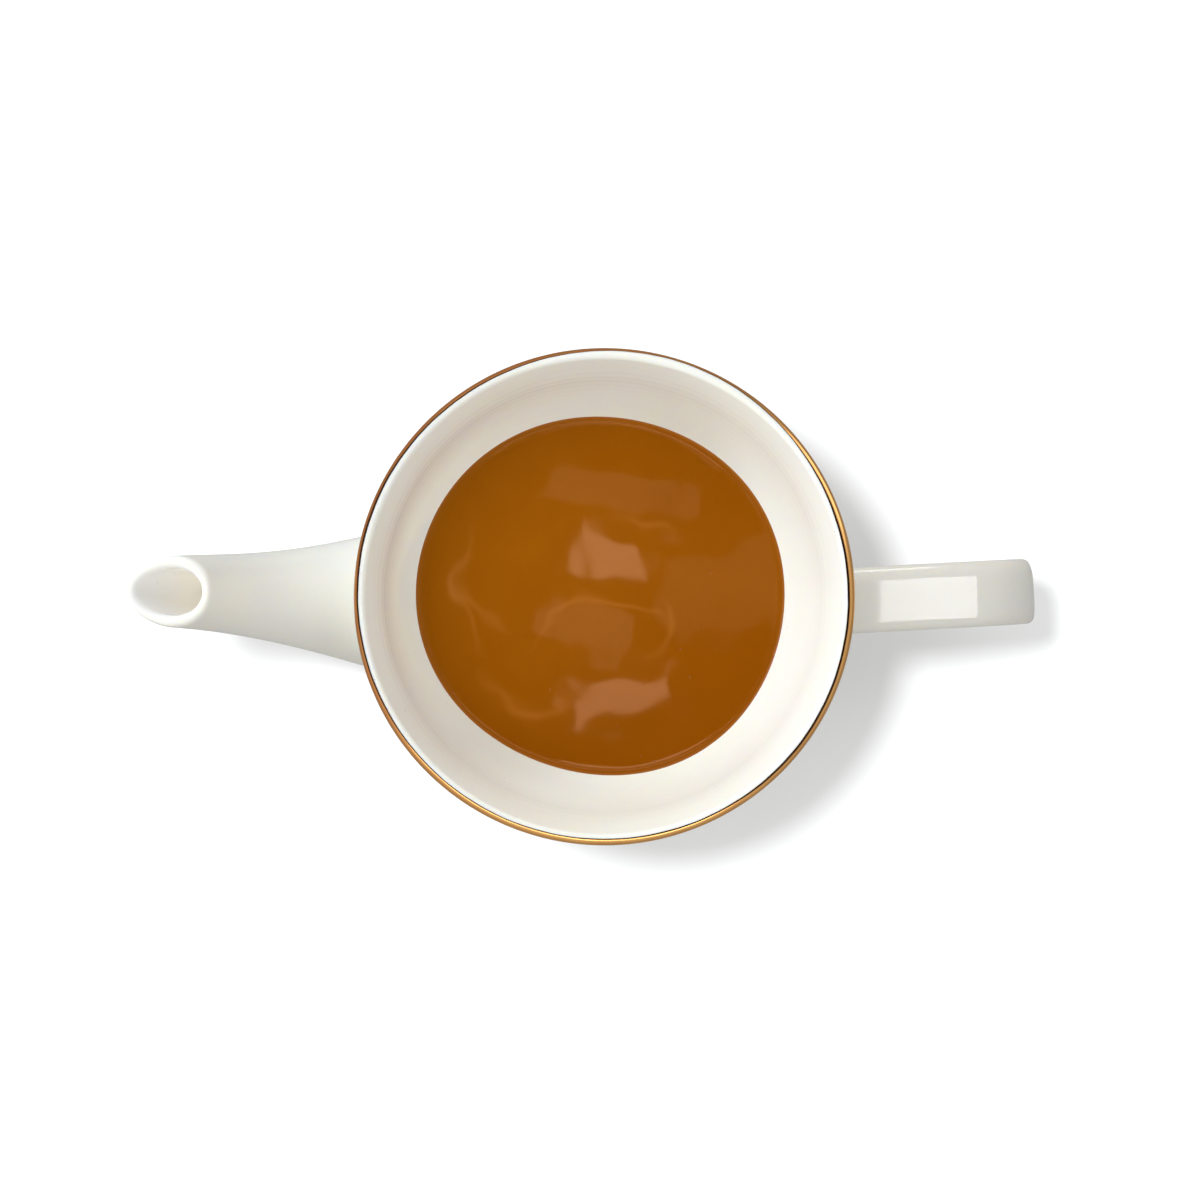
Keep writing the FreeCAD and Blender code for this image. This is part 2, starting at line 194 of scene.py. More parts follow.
def arc(centre: Array, radius: float, start: float, end: float, count: int) -> Array:
    """Points evenly spaced on a circular arc of a section: centre + radius (cos a, sin a)."""
    angle = np.linspace(start, end, count)[:, None]
    return centre + radius * np.hstack([np.cos(angle), np.sin(angle)])


def line(start: tuple, end: tuple, count: int) -> Array:
    """Points evenly spaced on a straight stretch of a section."""
    return np.linspace(start, end, count)


def rounding(before: Array, corner: tuple, after: Array, count: int = 6) -> Array:
    """Rounds a section's corner: the parabola from one stretch's end to the next one's start."""
    share = np.linspace(0.0, 1.0, count + 2)[1:-1]
    return bezier(share, before[-1], np.array(corner), after[0])


def unit(vectors: Array) -> Array:
    """Vectors scaled to length 1."""
    return vectors / np.linalg.norm(vectors, axis=-1, keepdims=True)


def ring_angles(count: int) -> Array:
    """Angles of a ring's columns, from 0 up to one turn."""
    return np.arange(count) * TURN / count


@dataclass(frozen=True)
class Wave:
    """One harmonic of an unevenness round the pot.

    Attributes:
        crests: how many crests it has in one turn.
        height: of each crest, in millimetres.
        first: where its first crest stands, in degrees from +X.
    """

    crests: int
    height: float
    first: float

    def at(self, angle: Array) -> Array:
        """Height at an angle in radians: height times cos(crests (angle - first))."""
        return self.height * np.cos(self.crests * (angle - math.radians(self.first)))


def swell(waves: tuple[Wave, ...], angle: Array) -> Array:
    """Sum of several waves at an angle in radians."""
    return sum(wave.at(angle) for wave in waves)


# ---------------- materials


class Tone(Enum):
    """Colours as sRGB codes."""

    CHINA = "#F9F7F2"  # fired bone china under clear glaze
    CHINA_WARM = "#F5F1E6"  # where the glaze has pooled
    BISCUIT = "#E6DFD0"  # bare fired clay of the foot
    GOLD = "#EDB972"
    GOLD_COPPER = "#C9824C"
    SPECK_AND_DARK_REFLECTION = "#45271A"  # dark brown: specks in the china, and the gold's inner edge, a brown edge painted wide as a dark reflection
    TEA = "#A86008"
    # darker tea, for its clouds and for the painted shade towards the right and the bottom
    TEA_DEEP = "#8F4C02"
    MILK = "#B9702A"
    FLOOR = "#EFF1F4"  # a touch blue, which evens out the warm room light


def linear(tone: Tone) -> tuple[float, float, float, float]:
    """Scene-linear RGBA of an sRGB code."""
    shares = [int(tone.value[k : k + 2], 16) / 255.0 for k in (1, 3, 5)]
    return (*[s / 12.92 if s <= 0.04045 else ((s + 0.055) / 1.055) ** 2.4 for s in shares], 1.0)


def new_material(name: str) -> tuple[Material, NodeTree]:
    """An empty node material and its tree."""
    material = bpy.data.materials.new(name)
    material.use_nodes = True
    material.node_tree.nodes.clear()
    return material, material.node_tree


def add_node(tree: NodeTree, kind: str, sockets: dict | None = None, **settings) -> Node:
    """Adds one shader node with its settings and links.

    Args:
        tree: the material's node tree.
        kind: the node's type name.
        sockets: a value, or an output to link, for each input by name or number.
        settings: the node's own properties.

    Returns:
        The node.
    """
    node = tree.nodes.new(kind)
    for key, value in settings.items():
        setattr(node, key, value)
    for key, value in (sockets or {}).items():
        if isinstance(value, NodeSocket):
            tree.links.new(value, node.inputs[key])
        else:
            node.inputs[key].default_value = value
    return node


def mark(tree: NodeTree, name: str) -> NodeSocket:
    """Value of one of the marks that the mesh carries per point."""
    return add_node(tree, "ShaderNodeAttribute", attribute_name=name).outputs["Fac"]


def on_piece(tree: NodeTree, kind: str, pattern: float, **sockets: float) -> Node:
    """A texture in the piece's own space, with features of a size in millimetres."""
    place = add_node(tree, "ShaderNodeTexCoord").outputs["Object"]
    return add_node(tree, kind, {"Vector": place, "Scale": 1.0 / (pattern * MM), **sockets})


def noise(tree: NodeTree, pattern: float, detail: float, distortion: float = 0.0) -> NodeSocket:
    """Soft noise from 0 to 1, with features of a size in millimetres."""
    texture = on_piece(tree, "ShaderNodeTexNoise", pattern, Detail=detail, Distortion=distortion)
    return texture.outputs["Fac"]


def remap(
    tree: NodeTree, value: NodeSocket, low, high, start: float = 0.0, end: float = 1.0, kind: str = "LINEAR"
) -> NodeSocket:
    """Maps a value between start and end onto low to high, each a number or a socket, and clamps."""
    sockets = {"Value": value, "From Min": start, "From Max": end, "To Min": low, "To Max": high}
    return add_node(tree, "ShaderNodeMapRange", sockets, interpolation_type=kind).outputs[0]


def multiply_add(tree: NodeTree, value, factor, base, clamp: bool = True) -> NodeSocket:
    """Value times factor plus base, held to 0 to 1 if clamp is set."""
    sockets = {0: value, 1: factor, 2: base}
    node = add_node(tree, "ShaderNodeMath", sockets, operation="MULTIPLY_ADD", use_clamp=clamp)
    return node.outputs[0]


def blend(tree: NodeTree, share: NodeSocket, first: NodeSocket | Tone, second: Tone) -> NodeSocket:
    """Colour that goes from the first to the second as the share goes from 0 to 1."""
    start = linear(first) if isinstance(first, Tone) else first
    sockets = {0: share, 6: start, 7: linear(second)}
    return add_node(tree, "ShaderNodeMix", sockets, data_type="RGBA").outputs[2]


def bump(
    tree: NodeTree, height: NodeSocket, strength: float, rise: float, **under: NodeSocket
) -> NodeSocket:
    """Normal of a skin that a height from 0 to 1 lifts by so many millimetres."""
    sockets = {"Height": height, "Strength": strength, "Distance": rise * MM, **under}
    return add_node(tree, "ShaderNodeBump", sockets).outputs["Normal"]


def principled(tree: NodeTree, sockets: dict) -> None:
    """Ends a material in one principled shader."""
    shader = add_node(tree, "ShaderNodeBsdfPrincipled", sockets)
    add_node(tree, "ShaderNodeOutputMaterial", {"Surface": shader.outputs[0]})


@dataclass(frozen=True)
class ChinaFinish:
    """Bone china: cast, biscuit fired, dipped in clear glaze and fired again.

    The glaze gives it a hard, glassy shine over a milky, faintly warm body. It lies a little
    unevenly, so reflections waver, and a few specks and pinholes show.
    """

    cloud: float = 34.0  # size of the patches where the glaze has pooled
    pooling: tuple[float, float] = (0.42, 0.72)  # noise at which it begins and is full
    pooled: float = 0.6
    speck_cell: float = 7.0
    speck_share: float = 0.028
    speck_strength: float = 0.45
    sheen: float = 18.0
    gloss: tuple[float, float] = (0.05, 0.11)  # roughness of the glaze
    bare_rough: float = 0.8
    waver: float = 9.0
    waver_rise: float = 0.05
    peel: float = 1.6
    peel_rise: float = 0.006
    depth: float = 1.2  # how far light wanders in the body
    sheer_depth: float = 20.0  # and in the thin wall round the bore

    def material(self) -> Material:
        """Builds the shader.

        Returns:
            The material "bone_china_glazed", which reads the marks "bare" and "sheer".
        """
        material, tree = new_material("bone_china_glazed")
        bare = mark(tree, "bare")
        pooled = remap(tree, noise(tree, self.cloud, 2.0), 0.0, self.pooled, *self.pooling)
        body = blend(tree, pooled, Tone.CHINA, Tone.CHINA_WARM)
        specks = on_piece(tree, "ShaderNodeTexVoronoi", self.speck_cell).outputs["Distance"]
        half = self.speck_share * 0.5
        speck = remap(tree, specks, self.speck_strength, 0.0, half, self.speck_share)
        speckled = blend(tree, speck, body, Tone.SPECK_AND_DARK_REFLECTION)
        glazed = remap(tree, noise(tree, self.sheen, 3.0), *self.gloss)
        rough = add_node(tree, "ShaderNodeMix", {0: bare, 2: glazed, 3: self.bare_rough}, data_type="FLOAT")
        waver = bump(tree, noise(tree, self.waver, 1.0), 0.5, self.waver_rise)
        sockets = {
            "Base Color": blend(tree, bare, speckled, Tone.BISCUIT),
            "Roughness": rough.outputs[0],
            "IOR": 1.52,
            "Subsurface Weight": 0.8,
            "Subsurface Radius": (1.0, 0.85, 0.6),
            "Subsurface Scale": remap(tree, mark(tree, "sheer"), self.depth * MM, self.sheer_depth * MM),
            "Normal": bump(tree, noise(tree, self.peel, 1.0), 0.4, self.peel_rise, Normal=waver),
        }
        principled(tree, sockets)
        return material


@dataclass(frozen=True)
class GoldFinish:
    """Liquid bright gold, brushed on over the glaze and fired to a thin metal film.

    It mirrors like polished metal, with faint brush lines along the rim and coppery patches where it is
    thin. A copper tint towards the upper left is painted reflection, and the dark brown line along its
    inner edge is partly the film's own brown edge and partly painted reflection.
    """

    brush_line: float = 0.12
    brush_rise: float = 0.01
    patch: float = 6.0
    patch_strength: float = 0.55
    gloss: tuple[float, float] = (0.1, 0.26)  # roughness

    def material(self) -> Material:
        """Builds the shader.

        Returns:
            The material "bright_gold_lustre", which reads the marks "across", "edge" and "thin".
        """
        material, tree = new_material("bright_gold_lustre")
        lines = {"W": mark(tree, "across"), "Scale": 1.0 / self.brush_line, "Detail": 2.0}
        brushed = add_node(tree, "ShaderNodeTexNoise", lines, noise_dimensions="1D").outputs["Fac"]
        patch = noise(tree, self.patch, 3.0)
        # the noise patches are thin film; the mark thin adds a painted reflection, more coppery towards the
        # upper left
        coppery = multiply_add(tree, patch, self.patch_strength, mark(tree, "thin"))
        metal = blend(tree, coppery, Tone.GOLD, Tone.GOLD_COPPER)
        sockets = {
            # edge: the film's own brown edge, painted wider and darker as a reflection along the lip's
            # inner side
            "Base Color": blend(tree, mark(tree, "edge"), metal, Tone.SPECK_AND_DARK_REFLECTION),
            "Metallic": 1.0,
            "Roughness": remap(tree, brushed, *self.gloss),
            "Normal": bump(tree, brushed, 0.5, self.brush_rise),
        }
        principled(tree, sockets)
        return material


@dataclass(frozen=True)
class TeaFinish:
    """Black tea with milk: cloudy, so it looks solid in colour, under a still wet surface.

    Milk fat drifts in it as paler wisps, and the thin drink at the shore looks lighter. Painted shade makes
    it darker towards the right and the bottom.
    """

    cloud: float = 26.0
    cloud_strength: float = 0.5

    def material(self) -> Material:
        """Builds the shader.

        Returns:
            The material "milk_tea", which reads the marks "milk" and "shade".
        """
        material, tree = new_material("milk_tea")
        cloud = noise(tree, self.cloud, 3.0, distortion=0.6)
        # the mark shade is painted shade, darker towards the right and the bottom
        deep = multiply_add(tree, cloud, self.cloud_strength, mark(tree, "shade"))
        drink = blend(tree, deep, Tone.TEA, Tone.TEA_DEEP)
        colour = blend(tree, mark(tree, "milk"), drink, Tone.MILK)
        principled(tree, {"Base Color": colour, "Roughness": 0.03, "IOR": 1.34})
        return material


# ---------------- bowl


@dataclass
class Bowl:
    """Round bowl on its foot ring, turned from one section.

    The section is arcs that meet with no kink: underside corner, long side, flare and half-round
    lip. The real pot is a casting, so it is a little out of round, most at mid height inside.
    """

    height: float
    rim_radius: float
    wall: float = 2.6
    flare_height: float = 13.0
    flare_inset: float = 6.3
    waist_slope: float = 12.0
    side_radius: float = 154.0
    corner_radius: float = 20.0
    floor_height: float = 6.0
    foot_radius: float = 25.0
    foot_width: float = 3.6
    foot_draft: float = 1.2  # over the height to the top of the ring's own section
    foot_section: float = 11.0
    foot_round: float = 0.9
    film: float = 0.05  # the lip is this much thinner where the gold lies on it
    columns: int = 288
    inner_waves: tuple[Wave, ...] = (
        Wave(1, 0.67, 157.0),
        Wave(2, 0.67, -17.0),
        Wave(3, 0.26, 54.0),
        Wave(4, 0.2, 28.0),
    )
    rim_waves: tuple[Wave, ...] = (Wave(2, 0.2, 0.0),)
    ring_pitch: float = 2.9  # turning marks inside, below the lip
    ring_height: float = 0.012

    def __post_init__(self) -> None:
        """Works out the centres, radii and joints of the section's arcs."""
        slope = math.radians(self.waist_slope)
        out = np.array([math.cos(slope), -math.sin(slope)])
        waist = np.array([self.rim_radius - self.flare_inset, self.height - self.flare_height])
        self.side = waist - out * self.side_radius
        rise = self.side[1] - self.floor_height - self.corner_radius
        gap = self.side_radius - self.corner_radius
        self.corner = self.side + np.array([math.sqrt(gap**2 - rise**2), -rise])
        half = self.wall / 2
        self.lip = np.array([self.rim_radius - half, self.height - half])
        apart = waist - self.lip
        self.flare_radius = (half**2 - apart @ apart) / (2 * (half + apart @ out))
        self.flare = waist + out * self.flare_radius
        self.lip_turn = math.atan2(*(self.lip - self.flare)[::-1])
        self.corner_turn = math.atan2(*(self.corner - self.side)[::-1])

    def wall_curve(self, offset: float, start: float = -math.pi / 2) -> Array:
        """Section of the wall from its corner up to the lip, offset outwards from the inside.

        Args:
            offset: distance from the inner face.
            start: angle on the corner arc where the curve begins.

        Returns:
            Points (r, z), upwards.
        """
        waist = -math.radians(self.waist_slope)
        lower = arc(self.corner, self.corner_radius + offset, start, self.corner_turn, 26)
        side = arc(self.side, self.side_radius + offset, self.corner_turn, waist, 60)
        flare = arc(self.flare, self.flare_radius - offset, math.pi + waist, self.lip_turn, 40)
        inward = unit(self.flare - flare) * np.sign(self.wall / 2 - offset)
        flare = flare + inward * self.film * ease(flare[:, 1:], self.height - 7.0, self.height - 2.0)
        return np.concatenate([lower[:-1], side[:-1], flare])

    def section(self) -> tuple[Array, Array]:
        """Half section of the whole bowl, from under its middle to the middle of its floor.

        Returns:
            Points (r, z), and for each whether it is on the inner face (1) or not (0).
        """
        middle = 0.4  # the fans at both ends start at this radius
        trim = 1.3  # each corner is rounded over this much of its two sides
        grown = self.corner_radius + self.wall
        inner_foot = self.foot_radius - self.foot_width
        reach = inner_foot - self.corner[0]
        recess_top = self.corner[1] - math.sqrt(grown**2 - reach**2)
        recess_end = -math.acos((reach - trim) / grown)
        outer_top = self.floor_height
        outer_foot = self.foot_radius - self.foot_draft * outer_top / self.foot_section
        wall_start = -math.acos((outer_foot + trim - self.corner[0]) / grown)
        shrink = self.foot_draft / self.foot_section
        drawn = self.foot_radius - shrink * self.foot_round
        base = self.floor_height - self.wall
        stretches = [
            line((middle, base), (self.corner[0], base), 8)[:-1],
            arc(self.corner, grown, -math.pi / 2, recess_end, 10),
            line((inner_foot, recess_top - trim), (inner_foot, self.foot_round), 5),
            line((inner_foot + self.foot_round, 0.0), (self.foot_radius - self.foot_round, 0.0), 5),
            line((drawn, self.foot_round), (outer_foot + shrink * trim, outer_top - trim), 6),
            self.wall_curve(self.wall, wall_start),
        ]
        corners = [(inner_foot, recess_top), (inner_foot, 0.0), (self.foot_radius, 0.0)]
        corners += [(outer_foot, outer_top)]
        outside = stretches[:2]
        for corner, after in zip(corners, stretches[2:]):
            outside += [rounding(outside[-1], corner, after), after]
        # The lip's round runs from the outer flare over the crest to the inner one.
        lip = arc(self.lip, self.wall / 2 - self.film, self.lip_turn - math.pi, self.lip_turn, 30)[1:-1]
        floor = line((self.corner[0], self.floor_height), (middle, self.floor_height), 16)[1:]
        inside = [self.wall_curve(0.0)[::-1], floor]
        outer, over, inner = sum(map(len, outside)), len(lip), sum(map(len, inside))
        share = [np.zeros(outer), ease(np.linspace(0.0, 1.0, over), 0.0, 1.0), np.ones(inner)]
        return np.concatenate(outside + [lip] + inside), np.concatenate(share)

    def drift(self, angle: Array, height: Array, inside: Array | float) -> Array:
        """How far a point stands outside the true round, in millimetres.

        The inner face swells between floor and flare and has faint turning rings below the lip.
        Both faces follow the rim's waves near the top.
        """
        belly = ease(height, 8.0, 26.0) * (1.0 - ease(height, 42.0, 66.0))
        rings = ease(height, 46.0, 54.0) * (1.0 - ease(height, 63.0, 67.0))
        strength = 0.6 + 0.4 * np.cos(angle - math.radians(120.0))
        ripple = self.ring_height * strength * np.sin(TURN * height / self.ring_pitch)
        top = ease(height, 40.0, self.height) * swell(self.rim_waves, angle)
        return inside * (belly * swell(self.inner_waves, angle) + rings * ripple) + top

    def turned(self, section: Array, inside: Array, columns: int) -> Array:
        """Turns a section about Z: (r + drift)(cos a, sin a) at height z.

        Args:
            section: points (r, z).
            inside: per point, 1 on the inner face and 0 on the outer.
            columns: how many half sections stand round the axis.

        Returns:
            Points (rows, columns, 3).
        """
        angle = ring_angles(columns)[None, :]
        radius = section[:, :1] + self.drift(angle, section[:, 1:], inside[:, None])
        height = np.broadcast_to(section[:, 1:], radius.shape)
        return np.stack([radius * np.cos(angle), radius * np.sin(angle), height], axis=-1)

    def face_radius(self, angle: Array, height: Array, inside: float = 0.0) -> Array:
        """Radius of the outer face, or of the inner if inside is 1, read off its section and drift."""
        curve = self.wall_curve(self.wall * (1.0 - inside))
        return np.interp(height, curve[:, 1], curve[:, 0]) + self.drift(angle, height, inside)

    def build(self, material: Material) -> Object:
        """Makes the piece "pot_bowl"."""
        section, inside = self.section()
        net = self.turned(section, inside, self.columns)
        foot = 1.0 - ease(section[:, 1], 0.12, 0.45)
        marks = {"bare": foot[:, None] + blank(net), "sheer": blank(net)}
        return add_piece("pot_bowl", [skin(net, marks=marks)], material, ("pot",))


# ---------------- branches


@dataclass
class Branch:
    """A tube that grows out of the bowl's wall, joined to it by a soft fillet.

    A subclass gives point(share, turn): the tube's surface at a share of its length, and at an
    angle round its section. All the shapes here are whole arrays, one column per angle.
    """

    bowl: Bowl
    columns: int = 96
    fillet_rows: int = 14
    sink: float = 0.03  # the fillet's outer edge lies this far under the glaze of the bowl
    depth: float = 0.6  # hidden ends stop this far inside the wall
    pull: float = 0.62  # how far the fillet's middle poles reach along it

    def point(self, share: Array, turn: Array) -> Array:
        """Surface point of the tube; each subclass has its own."""
        raise NotImplementedError

    def bearing(self, points: Array) -> Array:
        """Angle of points round the bowl's axis."""
        return np.arctan2(points[..., 1], points[..., 0])

    def proud(self, points: Array) -> Array:
        """How far points stand outside the bowl's outer face, level distance."""
        face = self.bowl.face_radius(self.bearing(points), points[..., 2])
        return np.hypot(points[..., 0], points[..., 1]) - face

    def on_wall(self, points: Array, depth: float) -> Array:
        """Points moved level, towards or from the axis, to lie depth inside the outer face."""
        angle = self.bearing(points)
        radius = self.bowl.face_radius(angle, points[..., 2]) - depth
        return np.stack([radius * np.cos(angle), radius * np.sin(angle), points[..., 2]], axis=-1)

    def wall_normal(self, points: Array) -> Array:
        """Outward normal of the bowl's outer face beside each point, from its slope there."""
        angle = self.bearing(points)
        step = 0.1
        high = self.bowl.face_radius(angle, points[..., 2] + step)
        low = self.bowl.face_radius(angle, points[..., 2] - step)
        rise = -(high - low) / (2 * step)
        return unit(np.stack([np.cos(angle), np.sin(angle), rise], axis=-1))

    def crossing(self, start: float, end: float, depth: float = 0.0) -> Array:
        """Share of the length where each column comes out of the wall, looking from start to end.

        The proud distance is sampled along every column and its first change of sign, from inside
        to outside, is found by straight interpolation.

        Args:
            start: share inside the bowl.
            end: share outside.
            depth: how far inside the outer face the crossing is wanted.

        Returns:
            One share per column.
        """
        shares = np.linspace(start, end, 500)[:, None]
        turn = ring_angles(self.columns)[None, :]
        proud = self.proud(self.point(shares + 0 * turn, turn + 0 * shares)) + depth
        first = np.argmax(proud > 0.0, axis=0)
        column = np.arange(self.columns)
        low, high = proud[first - 1, column], proud[first, column]
        whole = first - 1 + low / (low - high)
        return start + (end - start) * whole / (len(shares) - 1)

    def fillet(self, share: Array, way: float, along: float, beside: float) -> tuple:
        """Cubic curves that carry the tube's surface into the bowl's, tangent to both.

        Args:
            share: where each column crosses the wall.
            way: +1 if the tube leaves the wall with growing share, or -1.
            along: reach of the fillet on the tube.
            beside: reach of the fillet on the bowl.

        Returns:
            Points (rows, columns, 3) from the bowl to the tube, and each column's share at its end.
        """
        turn = ring_angles(self.columns)
        step = 1e-4
        cross = self.point(share, turn)
        speed = (self.point(share + step, turn) - self.point(share - step, turn)) / (2 * step)
        end = share + way * along / np.linalg.norm(speed, axis=-1)
        tube_end = self.point(end, turn)
        tube_way = unit(self.point(end + step, turn) - self.point(end - step, turn)) * way
        ring = np.roll(cross, -1, axis=0) - np.roll(cross, 1, axis=0)
        normal = unit(np.cross(ring, speed))
        normal *= np.sign(np.sum(normal * (cross - cross.mean(0)), axis=-1, keepdims=True))
        wall = self.wall_normal(cross)
        away = unit(normal - wall * np.sum(normal * wall, axis=-1, keepdims=True))
        foot = self.on_wall(cross + away * beside, self.sink)
        flat = unit(foot - self.on_wall(cross + away * beside * 0.9, self.sink))
        rows = np.linspace(0.0, 1.0, self.fillet_rows)[:-1, None] * np.ones(self.columns)
        low, high = foot - flat * beside * self.pull, tube_end - tube_way * along * self.pull
        return bezier(rows, foot, low, high, tube_end), end


@dataclass
class Spout(Branch):
    """Spout: a wide root that narrows along one curved line to a beak, cut level at its mouth.

    Across the centre line each half size is tip + (root - tip)(1 - share)^flare, halved. The
    sections stand square to the line low down and lie level at the mouth, whose outer end is
    drawn to a soft point.
    """

    reach: float = 39.5
    root_inset: float = 38.5
    root_run: float = 50.0
    root_level: float = 23.0
    tip_run: float = 22.0
    tip_angle: float = 50.0
    root_aside: float = -1.5
    tip_aside: float = 1.05
    root_size: tuple[float, float] = (53.0, 29.6)
    tip_size: tuple[float, float] = (16.9, 13.8)
    bore_root: tuple[float, float] = (18.0, 13.0)
    bore_tip: tuple[float, float] = (11.0, 10.7)
    columns: int = 128
    lip_rise: float = 1.15  # the mouth's rolled lip stands this high over its two edges
    lip_pull: float = 2.0
    outer_point: float = 0.22  # how much the beak narrows towards its point
    bore_point: float = 0.2
    inside: bool = False  # which of the two walls point() gives

    def __post_init__(self) -> None:
        """Works out the centre line's poles and the share where the walls end at the mouth."""
        rim, top = self.bowl.rim_radius, self.bowl.height
        angle = math.radians(self.tip_angle)
        root = np.array([self.root_inset - rim, self.root_aside, self.root_level])
        mouth = np.array([-(rim + self.reach), self.tip_aside, top])
        back = np.array([math.cos(angle), 0.0, -math.sin(angle)]) * self.tip_run
        self.poles = (root, root - np.array([self.root_run, 0.0, 0.0]), mouth + back, mouth)
        self.mouth_share = 1.0 - self.lip_rise / (3.0 * -back[2])

    def centre(self, share: Array) -> Array:
        """Cubic Bezier curve from inside the bowl, level at first, up to the mouth."""
        return bezier(share, *self.poles)

    def point(self, share: Array, turn: Array) -> Array:
        """Wall of the spout, or of its bore if inside is set; turn 0 is the upper side."""
        root, tip = (self.bore_root, self.bore_tip) if self.inside else (self.root_size, self.tip_size)
        flare = 2 if self.inside else 3
        sharp = self.bore_point if self.inside else self.outer_point
        step = 1e-4
        way = self.centre(share + step) - self.centre(share - step)
        climb = np.arctan2(way[..., 2], -way[..., 0])
        near = np.clip(share / self.mouth_share, 0.0, 1.0)
        lean = climb + (math.pi / 2 - climb) * near**6
        grown = np.clip(1.0 - share, 0.0, 1.0) ** flare
        half_width = (tip[0] + (root[0] - tip[0]) * grown) / 2
        half_depth = (tip[1] + (root[1] - tip[1]) * grown) / 2 / np.cos(lean - climb)
        drawn = 1.0 - sharp * near**4 * (1.0 - np.cos(turn)) / 2
        up = half_depth * np.cos(turn)
        offset = np.stack([np.sin(lean) * up, half_width * drawn * np.sin(turn), np.cos(lean) * up], -1)
        return self.centre(share) + offset

    def walls(self, inside: bool, start: Array, end: Array, rows: int) -> Array:
        """Rows of one wall between two shares of the length, evenly spaced down each column."""
        self.inside = inside
        share = np.linspace(0.0, 1.0, rows)[:, None] * (end - start) + start
        return self.point(share, np.broadcast_to(ring_angles(self.columns), share.shape))

    def build(self, material: Material) -> Object:
        """Makes the piece "pot_spout": fillet, outer wall, rolled lip, bore and hidden back.

        The rolled lip is a cubic curve whose end poles are the two walls' edges, and whose middle
        poles carry on along each wall. The back closes the loop inside the bowl's wall.
        """
        self.inside = False
        fillet, start = self.fillet(self.crossing(0.0, 0.8), 1.0, 8.0, 7.0)
        mouth = np.full(self.columns, self.mouth_share)
        outer = self.walls(False, start, mouth, 90)
        self.inside = True
        bore_start = self.crossing(0.0, 0.8, depth=self.depth)
        bore = self.walls(True, mouth, bore_start, 70)
        share = np.linspace(0.0, 1.0, 18)[1:-1, None] * np.ones(self.columns)
        outer_way = unit(outer[-1] - outer[-2])
        bore_way = unit(bore[0] - bore[1])
        crest = (outer[-1] + outer_way * self.lip_pull, bore[0] + bore_way * self.lip_pull)
        lip = bezier(share, outer[-1], *crest, bore[0])
        lip[..., 2] = np.minimum(lip[..., 2], self.bowl.height)
        back = np.linspace(0.0, 1.0, 8)[1:-1, None, None]
        hidden = self.on_wall(bore[-1] * (1.0 - back) + fillet[0] * back, self.depth)
        net = np.concatenate([fillet, outer, lip, bore, hidden])
        rows = np.arange(len(net))[:, None] - len(fillet) - len(outer)
        sheer = ease(rows, len(lip) * 0.5, len(lip) + 3.0) + blank(net)
        marks = {"bare": blank(net), "sheer": sheer}
        return add_piece("pot_spout", [skin(net, True, marks)], material, ("pot",))


